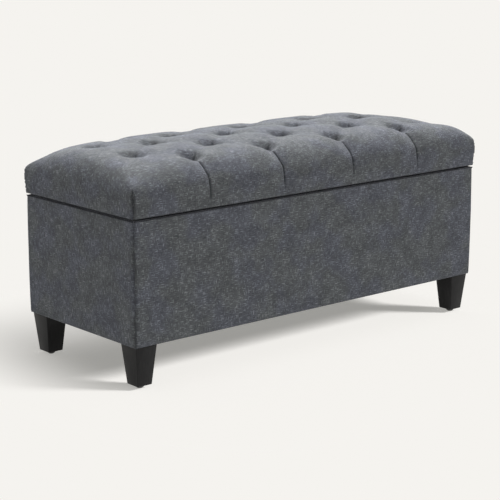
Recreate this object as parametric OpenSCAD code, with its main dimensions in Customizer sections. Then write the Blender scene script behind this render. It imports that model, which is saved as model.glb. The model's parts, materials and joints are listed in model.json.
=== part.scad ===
// Upholstered storage bench with a diamond-tufted lid on butt hinges and two gas struts.
// X runs along the bench, -Y is its front and +Z is up.
// The origin is on the floor, under the middle of the box.

/* [Overall] */
// Length of the lid, end to end
lid_l = 1100; // [850:1:1350]
// Depth of the lid, front to back
lid_d = 430; // [370:1:560]
// Height of the upholstered box, without its legs
box_h = 286; // [240:1:380]
// Height of the lid, from its underside to the top of its pad
lid_h = 128; // [100:1:170]
// How far the lid stands out past the box on each side
lid_overhang = 2; // [0:0.5:4]
// Gap between the box's rim and the lid
lid_gap = 4; // [3.6:0.1:8]
// Furthest that the lid opens, in degrees
lid_open = 82; // [60:1:82]

/* [Legs] */
// Height of a leg's timber
leg_h = 94; // [60:1:180]
// Width of a leg where it meets the box
leg_top_w = 58; // [46:1:64]
// Width of a leg at its foot
leg_foot_w = 40; // [26:1:50]
// From the box's outside to the middle of a leg
leg_inset = 35; // [32:1:42]
// Height of the glide under a leg
glide_h = 8; // [5:0.5:14]
// Radius of the glide
glide_r = 10; // [7:0.5:12]
// Radius of the leg's hanger bolt
leg_bolt_r = 4; // [3:0.5:5]

/* [Box] */
// Thickness of the four upright panels
panel_t = 15; // [12:0.5:18]
// Thickness of the wadding round the box
wadding_t = 5; // [3:0.5:8]
// Thickness of the outer fabric
cover_t = 1.5; // [1:0.1:2]
// Thickness of the storage lining
lining_t = 1; // [0.8:0.1:1.4]
// Thickness of the storage floor
floor_t = 9; // [6:0.5:15]
// Height of the cleats and corner blocks under the storage floor
cleat_h = 30; // [25:1:45]
// Thickness of a cleat
cleat_t = 20; // [15:1:30]
// Side of a square corner block
block_w = 60; // [54:1:75]
// Radius of the box's upright corners, outside the fabric
box_corner_r = 8; // [6:0.5:12]
// How far the fabric turns over on the hidden side
hem_w = 25; // [22:1:28]
// How far the fabric turns down inside the rim
rim_turn = 20; // [10:1:30]

/* [Lid pad] */
// Thickness of the lid board
board_t = 15; // [12:0.5:20]
// Radius of the pad's rolled top edge
roll_r = 57; // [30:1:60]
// Radius of the pad's crown, from front to back
crown_r = 940; // [700:10:2000]
// Radius of the lid's upright corners
lid_corner_r = 10; // [6:1:16]
// Distance along the bench between the tufts of one row
tuft_pitch_x = 223; // [180:1:226]
// Distance between one row of tufts and the next
tuft_pitch_y = 73; // [60:1:75]
// Depth of a tuft below the pad round it
tuft_depth = 24; // [14:1:36]
// Radius of a tuft's mouth
tuft_mouth_r = 22; // [14:1:28]
// Radius of a tuft's bottom
tuft_floor_r = 5; // [4:0.5:8]

/* [Hinges] */
// Length of a hinge
hinge_l = 64; // [50:1:90]
// Thickness of a hinge leaf
leaf_t = 1.6; // [1.2:0.1:1.7]
// Radius of a hinge pin
hinge_pin_r = 1.5; // [1.2:0.1:2]
// From the end of the lid to the middle of an outer hinge
hinge_inset = 130; // [110:1:220]

/* [Gas struts] */
// From the hinge's axis to either end of a strut
strut_reach = 190; // [186:1:200]
// Angle between the two ends of a strut, seen from the hinge, when the lid is shut
strut_shut_angle = 74; // [73:0.5:74]
// Drop from the lid's underside to the strut's upper pivot
strut_drop = 16; // [15:0.5:20]
// Radius of the strut's tube
tube_r = 7.5; // [6:0.5:8]
// Radius of the strut's rod
rod_r = 3; // [2.5:0.5:4]
// Radius of the pivot pin at each end of a strut
pivot_r = 4; // [3:0.5:5]

/* [Hidden] */
$fn = 48;

fit = 0.05;          // radial clearance of a screw, bolt or pin in its hole
slack = 0.4;         // clearance between pieces that pass each other
over = 1;            // how far a cutter runs past what it cuts

// Levels, from the floor up
box_z = glide_h + leg_h;
frame_z = box_z + cover_t;
floor_z = frame_z + cleat_h;
lining_z = floor_z + floor_t;
rim_z = box_z + box_h;
panel_h = box_h - 2 * cover_t;
lid_z = rim_z + lid_gap;
board_z = lid_z + cover_t;
top_z = lid_z + lid_h;

// Plan of the box
box_l = lid_l - 2 * lid_overhang;
box_d = lid_d - 2 * lid_overhang;
panel_l = box_l - 2 * (cover_t + wadding_t);
panel_d = box_d - 2 * (cover_t + wadding_t);
inner_l = panel_l - 2 * panel_t;
inner_d = panel_d - 2 * panel_t;
leg_x = box_l / 2 - leg_inset;
leg_y = box_d / 2 - leg_inset;

// Leg fittings
bolt_in_leg = 32;
nut_barrel_r = leg_bolt_r + 1.5;
nut_barrel_l = 12;
nut_flange_r = leg_bolt_r + 6;
nut_flange_t = 1.5;
bolt_top_z = floor_z - 1;
glide_spike_r = 1.5;
glide_spike_l = 14;

// Panel screws, three to a corner
panel_screw_r = 2.5;
panel_screw_head_r = 4.5;
panel_screw_head_t = 3;
panel_screw_l = 3 * panel_t;
panel_screw_zs = [for (share = [0.16, 0.5, 0.8]) frame_z + share * panel_h];

// Tufts: rows of four and of five by turns
tuft_rows = [
    for (row = [-2 : 2])
        let (count = row % 2 == 0 ? 4 : 5)
        for (i = [0 : count - 1]) [(i - (count - 1) / 2) * tuft_pitch_x, row * tuft_pitch_y]
];
roll_lift = 0.4;     // how far a rolled edge bulges past the crown that it runs into
tuft_slope = (tuft_mouth_r - tuft_floor_r) / tuft_depth;
twine_r = 0.8;
washer_r = 8;
washer_t = 1;

// Bumpers on the rim
bumper_r = 5.5;
bumper_rim_t = 1.4;

// Hinges, whose knuckles stand behind the lid
knuckle_r = hinge_pin_r + leaf_t;
hinge_y = lid_d / 2 + 0.8 + knuckle_r;
hinge_z = rim_z + lid_gap / 2;
hinge_xs = [-(lid_l / 2 - hinge_inset), 0, lid_l / 2 - hinge_inset];
leaf_edge_y = inner_d / 2 + 0.5;
leaf_screw_y = (leaf_edge_y + panel_d / 2) / 2;
leaf_screw_end = 8;
leaf_screw_pitch = (hinge_l - 2 * leaf_screw_end) / 2;
knuckles = 5;
knuckle_l = hinge_l / knuckles;
screw_r = 1.8;
screw_head_r = 3.2;
base_screw_l = 24;
lid_screw_l = board_t;

// Struts: the hinge is as far from one end as from the other.
// So each end turns through half the lid's angle.
upper_angle = asin((strut_drop - lid_gap / 2) / strut_reach);
lower_angle = upper_angle + strut_shut_angle;
lower_pivot = [hinge_y - strut_reach * cos(lower_angle), hinge_z - strut_reach * sin(lower_angle)];
upper_pivot = [hinge_y - strut_reach * cos(upper_angle), hinge_z - strut_reach * sin(upper_angle)];
strut_shut_l = 2 * strut_reach * sin(strut_shut_angle / 2);
strut_open_l = 2 * strut_reach * sin((strut_shut_angle + lid_open) / 2);
strut_tilt = atan2(upper_pivot[1] - lower_pivot[1], lower_pivot[0] - upper_pivot[0]);
pivot_fit = 0.08;
pivot_head_r = pivot_r + 1.5;
pivot_head_t = 1.5;
eye_r = pivot_r + 4;
eye_l = 10;
neck_l = eye_r + 4;
tube_wall = 1;
tube_cap = 6;
eye_neck_r = rod_r + 1;
shut_room = 3;       // between the tube's mouth and the rod's neck, with the lid shut
open_room = 4;       // between the piston and the tube's cap, with the lid open
tube_end = strut_shut_l - neck_l - shut_room;
piston_l = 8;
rod_l = strut_open_l - tube_end + tube_cap + piston_l + open_room;
plate_t = 2;
base_plate_w = 20;
base_plate_l = 50;
strut_wall_gap = 14;
strut_x = inner_l / 2 - lining_t - strut_wall_gap;
base_plate_x = inner_l / 2 - lining_t;
base_plate_screws = [-17, 17];
lid_tab_x = strut_x + eye_l / 2 + slack + plate_t;
lid_plate_l = 46;
lid_plate_w = 36;
lid_plate_edge = 9;
lid_tab_l = 20;
lid_tab_drop = 9;    // how far the tab reaches below the pivot
lid_plate_screws = [-14, 14];
strut_screw_head_r = 3.6;
strut_screw_head_t = 1.5;
base_bracket_screw_l = panel_t - 1;
lid_bracket_screw_l = board_t - 1;

module at_corners(x, y) {
    for (sx = [-1, 1], sy = [-1, 1]) translate([sx * x, sy * y, 0]) children();
}

// Leaves its children on the right and copies them to the left when side is -1
module on_side(side) {
    mirror([side < 0 ? 1 : 0, 0, 0]) children();
}

module block(l, d, h) {
    translate([-l / 2, -d / 2, 0]) cube([l, d, h]);
}

module rounded_plan(l, d, r) {
    square([l - 2 * r, d], center = true);
    square([l, d - 2 * r], center = true);
    for (sx = [-1, 1], sy = [-1, 1])
        translate([sx * (l / 2 - r), sy * (d / 2 - r)]) circle(r);
}

module rounded_block(l, d, h, r) {
    linear_extrude(height = h) rounded_plan(l, d, r);
}

// ---------- Box ----------

module panel_screw_places() {
    for (sx = [-1, 1], sy = [-1, 1], z = panel_screw_zs)
        translate([sx * (panel_l - panel_t) / 2, sy * panel_d / 2, z])
            rotate([sy * 90, 0, 0]) children();
}

module panel_screw(gap = 0) {
    cylinder(r = panel_screw_r + gap, h = panel_screw_l + gap);
    cylinder(r = panel_screw_head_r + gap, h = panel_screw_head_t + gap);
}

module panel_screws() {
    color("silver") panel_screw_places() panel_screw();
}

module hinge_base_screw_places() {
    for (x = hinge_xs, i = [-1 : 1])
        translate([x + i * leaf_screw_pitch, leaf_screw_y, rim_z + leaf_t]) children();
}

// A countersunk wood screw that points down, with the top of its head at the origin
module wood_screw(length, gap = 0) {
    head_t = screw_head_r - screw_r;
    translate([0, 0, -head_t]) cylinder(r1 = screw_r + gap, r2 = screw_head_r + gap, h = head_t);
    translate([0, 0, -length - gap]) cylinder(r = screw_r + gap, h = length);
}

module long_panel(side) {
    color("burlywood") difference() {
        translate([0, side * (panel_d - panel_t) / 2, frame_z]) block(panel_l, panel_t, panel_h);
        panel_screw_places() panel_screw(fit);
        if (side > 0) hinge_base_screw_places() wood_screw(base_screw_l, fit);
    }
}

module end_panel(side) {
    color("burlywood") difference() {
        translate([side * (panel_l - panel_t) / 2, 0, frame_z]) block(panel_t, inner_d, panel_h);
        panel_screw_places() panel_screw(fit);
        strut_base_screw_places() strut_screw(base_bracket_screw_l, fit);
    }
}

module bottom_panel() {
    color("burlywood") translate([0, 0, floor_z]) block(inner_l, inner_d, floor_t);
}

module corner_block(sx, sy) {
    color("burlywood") difference() {
        translate([sx * (inner_l - block_w) / 2, sy * (inner_d - block_w) / 2, frame_z])
            block(block_w, block_w, cleat_h);
        translate([sx * leg_x, sy * leg_y, 0]) {
            translate([0, 0, frame_z - over]) cylinder(r = leg_bolt_r + fit, h = cleat_h + 2 * over);
            translate([0, 0, floor_z - nut_flange_t - fit])
                cylinder(r = nut_flange_r + fit, h = nut_flange_t + over);
            translate([0, 0, floor_z - nut_barrel_l - fit])
                cylinder(r = nut_barrel_r + fit, h = nut_barrel_l + over);
        }
    }
}

module long_cleat(side) {
    color("burlywood") translate([0, side * (inner_d - cleat_t) / 2, frame_z])
        block(inner_l - 2 * block_w, cleat_t, cleat_h);
}

module end_cleat(side) {
    color("burlywood") translate([side * (inner_l - cleat_t) / 2, 0, frame_z])
        block(cleat_t, inner_d - 2 * block_w, cleat_h);
}

module centre_rail() {
    color("burlywood") translate([0, 0, frame_z]) block(2 * cleat_t, inner_d - 2 * cleat_t, cleat_h);
}

module box_wadding() {
    color("white") difference() {
        translate([0, 0, frame_z])
            rounded_block(box_l - 2 * cover_t, box_d - 2 * cover_t, panel_h, box_corner_r - cover_t);
        translate([0, 0, frame_z - over]) block(panel_l, panel_d, panel_h + 2 * over);
    }
}

// A sewn sleeve that turns under at the bottom, and over the rim and down inside it at the top
module box_cover() {
    turn_z = rim_z - cover_t - rim_turn;
    in_l = box_l - 2 * cover_t;
    in_d = box_d - 2 * cover_t;
    color("dimgray") difference() {
        union() {
            difference() {
                translate([0, 0, box_z]) rounded_block(box_l, box_d, box_h, box_corner_r);
                translate([0, 0, frame_z])
                    rounded_block(in_l, in_d, panel_h, box_corner_r - cover_t);
            }
            translate([0, 0, turn_z]) difference() {
                block(inner_l, inner_d, rim_turn + cover_t);
                translate([0, 0, -over])
                    block(inner_l - 2 * cover_t, inner_d - 2 * cover_t, rim_turn + cover_t + 2 * over);
            }
        }
        translate([0, 0, box_z - over])
            block(box_l - 2 * hem_w, box_d - 2 * hem_w, cover_t + 2 * over);
        translate([0, 0, rim_z - cover_t - over])
            block(inner_l - 2 * cover_t, inner_d - 2 * cover_t, cover_t + 2 * over);
        hinge_base_screw_places() wood_screw(base_screw_l, fit);
    }
}

module storage_lining() {
    top = rim_z - cover_t - rim_turn;
    color("#202020") difference() {
        translate([0, 0, lining_z]) block(inner_l, inner_d, top - lining_z);
        translate([0, 0, lining_z + lining_t])
            block(inner_l - 2 * lining_t, inner_d - 2 * lining_t, top - lining_z + over);
        strut_base_screw_places() strut_screw(base_bracket_screw_l, fit);
    }
}

module dust_cover() {
    color("#202020") difference() {
        translate([0, 0, box_z]) block(box_l - 2 * hem_w, box_d - 2 * hem_w, cover_t);
        at_corners(leg_x, leg_y) translate([0, 0, box_z - over])
            cylinder(r = leg_bolt_r + fit, h = cover_t + 2 * over);
    }
}

module rim_bumpers() {
    x = panel_l / 2 - panel_t / 2;
    y = panel_d / 2 - panel_t / 2;
    color("black") translate([0, 0, rim_z]) {
        for (sx = [-1, 0, 1]) translate([sx * x, -y, 0]) bumper();
        for (sx = [-1, 1]) translate([sx * x, 0, 0]) bumper();
    }
}

// A stick-on foot, which stops just short of the lid
module bumper() {
    cylinder(r = bumper_r, h = bumper_rim_t);
    cylinder(r = bumper_r - 1, h = lid_gap - 0.1);
}

// ---------- Legs ----------

module leg(sx, sy) {
    color("#1c1c1e") difference() {
        translate([sx * leg_x, sy * leg_y, box_z]) mirror([0, 0, 1])
            linear_extrude(height = leg_h, scale = leg_foot_w / leg_top_w)
                square(leg_top_w, center = true);
        translate([sx * leg_x, sy * leg_y, box_z - bolt_in_leg])
            cylinder(r = leg_bolt_r + fit, h = bolt_in_leg + over);
        translate([sx * leg_x, sy * leg_y, glide_h - over])
            cylinder(r = glide_spike_r + fit, h = glide_spike_l + over + fit);
    }
}

module leg_bolts() {
    color("silver") at_corners(leg_x, leg_y) translate([0, 0, box_z - bolt_in_leg + fit])
        cylinder(r = leg_bolt_r, h = bolt_top_z - box_z + bolt_in_leg - fit);
}

module leg_tee_nuts() {
    color("silver") at_corners(leg_x, leg_y) translate([0, 0, floor_z]) difference() {
        union() {
            translate([0, 0, -nut_flange_t]) cylinder(r = nut_flange_r, h = nut_flange_t);
            translate([0, 0, -nut_barrel_l]) cylinder(r = nut_barrel_r, h = nut_barrel_l);
        }
        translate([0, 0, -nut_barrel_l - over])
            cylinder(r = leg_bolt_r + fit, h = nut_barrel_l + 2 * over);
    }
}

// A nail-on glide: a domed foot with a flat under it, and a spike up into the leg
module leg_glides() {
    flat_r = glide_r - 4;
    color("black") at_corners(leg_x, leg_y) {
        cylinder(r1 = flat_r, r2 = glide_r - 1, h = 2.5);
        translate([0, 0, 2.5]) cylinder(r1 = glide_r - 1, r2 = glide_r, h = 1.5);
        translate([0, 0, 4]) cylinder(r = glide_r, h = glide_h - 4);
        cylinder(r = glide_spike_r, h = glide_h + glide_spike_l);
    }
}

// ---------- Lid ----------

// How far the crown has dropped at y
function crown_drop(y) = crown_r - sqrt(pow(crown_r, 2) - pow(y, 2));

// Level of the bottom of a tuft in the row at y
function tuft_z(y) = top_z - crown_drop(y) - tuft_depth;

// Outline of the pad seen from the front, with a rolled edge at each end
module flat_profile(width, height, r) {
    translate([-width / 2, 0]) square([width, height - r]);
    translate([-width / 2 + r, 0]) square([width - 2 * r, height]);
    for (s = [-1, 1]) translate([s * (width / 2 - r), height - r]) circle(r);
}

// Outline of the pad seen from one end: a crown that runs into a rolled edge on each side
module crowned_profile(width, height, r, crown) {
    crown_z = height - crown;
    roll_y = width / 2 - r;
    roll_z = crown_z + sqrt(pow(crown - r + roll_lift, 2) - pow(roll_y, 2));
    reach = (crown + over) / (crown - r);
    edge = [reach * roll_y, crown_z + reach * (roll_z - crown_z)];
    translate([-width / 2, 0]) square([width, roll_z]);
    for (s = [-1, 1]) translate([s * roll_y, roll_z]) circle(r);
    intersection() {
        translate([0, crown_z]) circle(crown, $fn = 960);
        polygon([
            [-roll_y, 0], [roll_y, 0], [roll_y, roll_z], edge, [edge[0], height + over],
            [-edge[0], height + over], [-edge[0], edge[1]], [-roll_y, roll_z],
        ]);
    }
}

// The pad's outside, drawn in by inset on the sides and top, on a base at bottom_z
module pad_body(inset, bottom_z) {
    l = lid_l - 2 * inset;
    d = lid_d - 2 * inset;
    h = top_z - inset - bottom_z;
    r = roll_r - inset;
    translate([0, 0, bottom_z]) intersection() {
        rounded_block(l, d, h + over, lid_corner_r - inset);
        translate([0, d / 2 + over, 0]) rotate([90, 0, 0])
            linear_extrude(height = d + 2 * over) flat_profile(l, h, r);
        translate([-l / 2 - over, 0, 0]) rotate([90, 0, 90])
            linear_extrude(height = l + 2 * over) crowned_profile(d, h, r, crown_r - inset);
    }
}

// The cone that each tuft pulls into the pad, grown by inset
module tuft_cones(inset) {
    floor_r = tuft_floor_r + inset;
    h = tuft_depth + inset + 2 * over;
    for (p = tuft_rows) translate([p[0], p[1], tuft_z(p[1]) - inset])
        cylinder(r1 = floor_r, r2 = floor_r + tuft_slope * h, h = h);
}

module lid_foam() {
    color("white") difference() {
        pad_body(cover_t, board_z + board_t);
        tuft_cones(cover_t);
        for (p = tuft_rows) translate([p[0], p[1], board_z + board_t - over])
            cylinder(r = twine_r + fit, h = tuft_z(p[1]) - board_z - board_t + over);
    }
}

module lid_cover() {
    color("dimgray") difference() {
        pad_body(0, lid_z);
        tuft_cones(0);
        difference() {
            pad_body(cover_t, board_z);
            tuft_cones(cover_t);
        }
        translate([0, 0, lid_z - over])
            block(lid_l - 2 * hem_w, lid_d - 2 * hem_w, cover_t + 2 * over);
        hinge_lid_screw_places() mirror([0, 0, 1]) wood_screw(lid_screw_l, fit);
    }
}

module lid_board() {
    color("burlywood") difference() {
        translate([0, 0, board_z])
            rounded_block(lid_l - 2 * cover_t, lid_d - 2 * cover_t, board_t, lid_corner_r - cover_t);
        for (p = tuft_rows) translate([p[0], p[1], board_z - over]) {
            cylinder(r = twine_r + fit, h = board_t + 2 * over);
            cylinder(r = washer_r + fit, h = washer_t + over + fit);
        }
        hinge_lid_screw_places() mirror([0, 0, 1]) wood_screw(lid_screw_l, fit);
        strut_lid_screw_places() strut_screw(lid_bracket_screw_l, fit);
    }
}

module lid_lining() {
    color("#202020") difference() {
        translate([0, 0, lid_z]) block(lid_l - 2 * hem_w, lid_d - 2 * hem_w, cover_t);
        strut_lid_screw_places() strut_screw(lid_bracket_screw_l, fit);
    }
}

module tuft_twine() {
    color("ivory") for (p = tuft_rows) translate([p[0], p[1], board_z])
        cylinder(r = twine_r, h = tuft_z(p[1]) - cover_t - board_z);
}

module tuft_washers() {
    color("silver") for (p = tuft_rows) translate([p[0], p[1], board_z]) difference() {
        cylinder(r = washer_r, h = washer_t);
        translate([0, 0, -over]) cylinder(r = twine_r + fit, h = washer_t + 2 * over);
    }
}

// ---------- Hinges ----------

module hinge_lid_screw_places() {
    for (x = hinge_xs, i = [-1 : 1])
        translate([x + i * leaf_screw_pitch, leaf_screw_y, lid_z - leaf_t]) children();
}

module knuckle(i, gap = 0) {
    translate([-hinge_l / 2 + i * knuckle_l - gap, 0, 0]) rotate([0, 90, 0])
        cylinder(r = knuckle_r + gap, h = knuckle_l + 2 * gap);
}

// One leaf, with the hinge's axis along X through the origin. plate_z is the plate's underside.
module hinge_leaf(plate_z, own, other) {
    width = hinge_y - leaf_edge_y;
    difference() {
        union() {
            translate([-hinge_l / 2, -width, plate_z]) cube([hinge_l, width, leaf_t]);
            for (i = own) knuckle(i);
        }
        for (i = other) {
            knuckle(i, 0.2);
            translate([-hinge_l / 2 + i * knuckle_l - 0.2, -knuckle_r - 0.6, -knuckle_r - over])
                cube([knuckle_l + 0.4, 2 * knuckle_r + 2, 2 * knuckle_r + 2 * over]);
        }
        translate([-hinge_l / 2 - over, 0, 0]) rotate([0, 90, 0])
            cylinder(r = hinge_pin_r + fit, h = hinge_l + 2 * over);
    }
}

module hinge_base_leaf(x) {
    color("silver") difference() {
        translate([x, hinge_y, hinge_z]) hinge_leaf(-lid_gap / 2, [0, 2, 4], [1, 3]);
        hinge_base_screw_places() wood_screw(base_screw_l, fit);
    }
}

module hinge_lid_leaf(x) {
    color("silver") difference() {
        translate([x, hinge_y, hinge_z]) hinge_leaf(lid_gap / 2 - leaf_t, [1, 3], [0, 2, 4]);
        hinge_lid_screw_places() mirror([0, 0, 1]) wood_screw(lid_screw_l, fit);
    }
}

module hinge_pin(x) {
    color("gray") translate([x - hinge_l / 2, hinge_y, hinge_z]) rotate([0, 90, 0]) {
        cylinder(r = hinge_pin_r, h = hinge_l);
        translate([0, 0, -0.8]) cylinder(r = hinge_pin_r + 0.8, h = 0.8);
        translate([0, 0, hinge_l]) cylinder(r = hinge_pin_r + 0.8, h = 0.8);
    }
}

module hinge_base_screws() {
    color("silver") hinge_base_screw_places() wood_screw(base_screw_l);
}

module hinge_lid_screws() {
    color("silver") hinge_lid_screw_places() mirror([0, 0, 1]) wood_screw(lid_screw_l);
}

// ---------- Gas struts ----------

// A screw along +Z, whose head is under the plate that lies at the origin
module strut_screw(length, gap = 0) {
    shank_l = length + plate_t + over / 2;
    translate([0, 0, -plate_t - strut_screw_head_t])
        cylinder(r = strut_screw_head_r + gap, h = strut_screw_head_t);
    translate([0, 0, -plate_t - over / 2]) cylinder(r = screw_r + gap, h = shank_l + gap);
}

module strut_base_screw_places() {
    for (side = [-1, 1], dz = base_plate_screws) on_side(side)
        translate([base_plate_x, lower_pivot[0], lower_pivot[1] + dz]) rotate([0, 90, 0]) children();
}

module strut_lid_screw_places() {
    for (side = [-1, 1], dy = lid_plate_screws) on_side(side)
        translate([lid_tab_x - lid_plate_w + lid_plate_edge, upper_pivot[0] + dy, lid_z]) children();
}

module strut_base_screws() {
    color("silver") strut_base_screw_places() strut_screw(base_bracket_screw_l);
}

module strut_lid_screws() {
    color("silver") strut_lid_screw_places() strut_screw(lid_bracket_screw_l);
}

// A pin along X through an eye at the origin, with a head at -X. It ends in a plate, at reach.
module pivot_pin(reach) {
    head_x = -eye_l / 2 - slack - pivot_head_t;
    rotate([0, 90, 0]) {
        translate([0, 0, head_x]) cylinder(r = pivot_head_r, h = pivot_head_t);
        translate([0, 0, head_x]) cylinder(r = pivot_r, h = reach - head_x);
    }
}

module strut_base_bracket(side) {
    color("gray") on_side(side) difference() {
        union() {
            translate([base_plate_x - plate_t, lower_pivot[0], lower_pivot[1]])
                translate([0, -base_plate_w / 2, -base_plate_l / 2])
                    cube([plate_t, base_plate_w, base_plate_l]);
            translate([strut_x, lower_pivot[0], lower_pivot[1]]) {
                pivot_pin(strut_wall_gap - plate_t / 2);
                translate([eye_l / 2 + slack, 0, 0]) rotate([0, 90, 0])
                    cylinder(r = pivot_head_r, h = strut_wall_gap - plate_t / 2 - eye_l / 2 - slack);
            }
        }
        strut_base_screw_places() strut_screw(base_bracket_screw_l, fit);
    }
}

module strut_lid_bracket(side) {
    color("gray") on_side(side) difference() {
        union() {
            translate([lid_tab_x - lid_plate_w, upper_pivot[0] - lid_plate_l / 2, lid_z - plate_t])
                cube([lid_plate_w, lid_plate_l, plate_t]);
            translate([lid_tab_x - plate_t, upper_pivot[0] - lid_tab_l / 2, upper_pivot[1] - lid_tab_drop])
                cube([plate_t, lid_tab_l, lid_z - upper_pivot[1] + lid_tab_drop]);
            translate([strut_x, upper_pivot[0], upper_pivot[1]])
                pivot_pin(lid_tab_x - strut_x - plate_t / 2);
        }
        strut_lid_screw_places() strut_screw(lid_bracket_screw_l, fit);
    }
}

// An eye at the origin for a pin along X, with a neck along +Z
module eye(neck_r) {
    difference() {
        union() {
            translate([-eye_l / 2, 0, 0]) rotate([0, 90, 0]) cylinder(r = eye_r, h = eye_l);
            cylinder(r = neck_r, h = neck_l);
        }
        translate([-eye_l / 2 - over, 0, 0]) rotate([0, 90, 0])
            cylinder(r = pivot_r + pivot_fit, h = eye_l + 2 * over);
    }
}

// Puts a strut's end at a pivot, pointing along the strut from the lower pivot to the upper one
module along_strut(pivot) {
    translate([strut_x, pivot[0], pivot[1]]) rotate([90 - strut_tilt, 0, 0]) children();
}

module strut_cylinder(side) {
    bore_r = tube_r - tube_wall;
    bore_start = neck_l + tube_cap / 2;
    color("#303030") on_side(side) along_strut(lower_pivot) {
        eye(eye_neck_r);
        difference() {
            translate([0, 0, neck_l]) cylinder(r = tube_r, h = tube_end - neck_l);
            translate([0, 0, bore_start]) cylinder(r = bore_r, h = tube_end - tube_cap - bore_start);
            translate([0, 0, bore_start]) cylinder(r = rod_r + slack, h = tube_end - bore_start + over);
        }
    }
}

module strut_rod(side) {
    bore_r = tube_r - tube_wall;
    color("silver") on_side(side) along_strut(upper_pivot) mirror([0, 0, 1]) {
        eye(eye_neck_r);
        translate([0, 0, neck_l]) cylinder(r = rod_r, h = rod_l - neck_l);
        translate([0, 0, rod_l - piston_l]) cylinder(r = bore_r - slack, h = piston_l);
    }
}

long_panel(-1);  // front_panel
long_panel(1);  // back_panel
end_panel(-1);  // left_panel
end_panel(1);  // right_panel
bottom_panel();
long_cleat(-1);  // front_cleat
long_cleat(1);  // back_cleat
end_cleat(-1);  // left_cleat
end_cleat(1);  // right_cleat
centre_rail();
corner_block(-1, -1);  // front_left_block
corner_block(1, -1);  // front_right_block
corner_block(-1, 1);  // back_left_block
corner_block(1, 1);  // back_right_block
box_wadding();
box_cover();
storage_lining();
dust_cover();
leg(-1, -1);  // front_left_leg
leg(1, -1);  // front_right_leg
leg(-1, 1);  // back_left_leg
leg(1, 1);  // back_right_leg
leg_bolts();
leg_tee_nuts();
leg_glides();
rim_bumpers();
panel_screws();
hinge_base_leaf(hinge_xs[0]);  // left_hinge_base_leaf
hinge_base_leaf(hinge_xs[1]);  // middle_hinge_base_leaf
hinge_base_leaf(hinge_xs[2]);  // right_hinge_base_leaf
hinge_pin(hinge_xs[0]);  // left_hinge_pin
hinge_pin(hinge_xs[1]);  // middle_hinge_pin
hinge_pin(hinge_xs[2]);  // right_hinge_pin
hinge_base_screws();
strut_base_bracket(-1);  // left_strut_base_bracket
strut_base_bracket(1);  // right_strut_base_bracket
strut_base_screws();
strut_cylinder(-1);  // left_strut_cylinder
strut_cylinder(1);  // right_strut_cylinder
lid_board();
lid_foam();
lid_cover();
lid_lining();
tuft_twine();
tuft_washers();
hinge_lid_leaf(hinge_xs[0]);  // left_hinge_lid_leaf
hinge_lid_leaf(hinge_xs[1]);  // middle_hinge_lid_leaf
hinge_lid_leaf(hinge_xs[2]);  // right_hinge_lid_leaf
hinge_lid_screws();
strut_lid_bracket(-1);  // left_strut_lid_bracket
strut_lid_bracket(1);  // right_strut_lid_bracket
strut_lid_screws();
strut_rod(-1);  // left_strut_rod
strut_rod(1);  // right_strut_rod
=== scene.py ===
"""Looks of an upholstered storage bench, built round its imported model.

X runs along the bench, -Y is its front and +Z is up. Lengths are in metres.
"""

import json
import logging
import math
from dataclasses import dataclass, field
from enum import Enum
from typing import Any, Callable, Sequence

import bmesh
import bpy
import numpy as np
from mathutils import Matrix, Vector, noise

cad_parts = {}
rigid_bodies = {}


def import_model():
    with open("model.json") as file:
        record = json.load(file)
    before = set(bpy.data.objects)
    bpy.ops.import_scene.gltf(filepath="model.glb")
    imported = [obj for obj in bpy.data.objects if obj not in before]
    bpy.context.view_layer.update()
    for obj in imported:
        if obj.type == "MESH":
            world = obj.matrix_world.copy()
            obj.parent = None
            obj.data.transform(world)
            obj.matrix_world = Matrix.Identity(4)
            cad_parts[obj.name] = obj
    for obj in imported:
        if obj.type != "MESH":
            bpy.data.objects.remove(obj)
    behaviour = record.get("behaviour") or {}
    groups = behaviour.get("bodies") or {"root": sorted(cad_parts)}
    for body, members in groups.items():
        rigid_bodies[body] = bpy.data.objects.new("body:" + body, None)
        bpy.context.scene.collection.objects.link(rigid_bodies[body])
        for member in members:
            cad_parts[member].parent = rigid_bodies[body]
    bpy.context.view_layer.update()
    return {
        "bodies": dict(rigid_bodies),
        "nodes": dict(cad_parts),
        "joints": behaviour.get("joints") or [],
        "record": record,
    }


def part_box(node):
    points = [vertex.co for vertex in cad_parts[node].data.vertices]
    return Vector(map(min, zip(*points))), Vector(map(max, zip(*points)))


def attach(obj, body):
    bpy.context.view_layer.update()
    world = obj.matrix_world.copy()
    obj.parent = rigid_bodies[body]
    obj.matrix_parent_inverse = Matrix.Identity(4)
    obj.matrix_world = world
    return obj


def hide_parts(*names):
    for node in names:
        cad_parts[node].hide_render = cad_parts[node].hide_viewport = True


LOG = logging.getLogger("bench")
MM = 0.001
CLOTH_MAP = "cloth"
# painted shade: a share from 0 to 1 for each vertex that darkens the cloth in fold creases, corner seams,
# under the lid's edge and on the box's rim
PAINTED_SHADE = "painted_shade"
BY_CORNER = (0.8 * MM, 2 * MM, 4 * MM, 8 * MM)


# ---------------------------------------------------------------- shader kit


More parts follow.
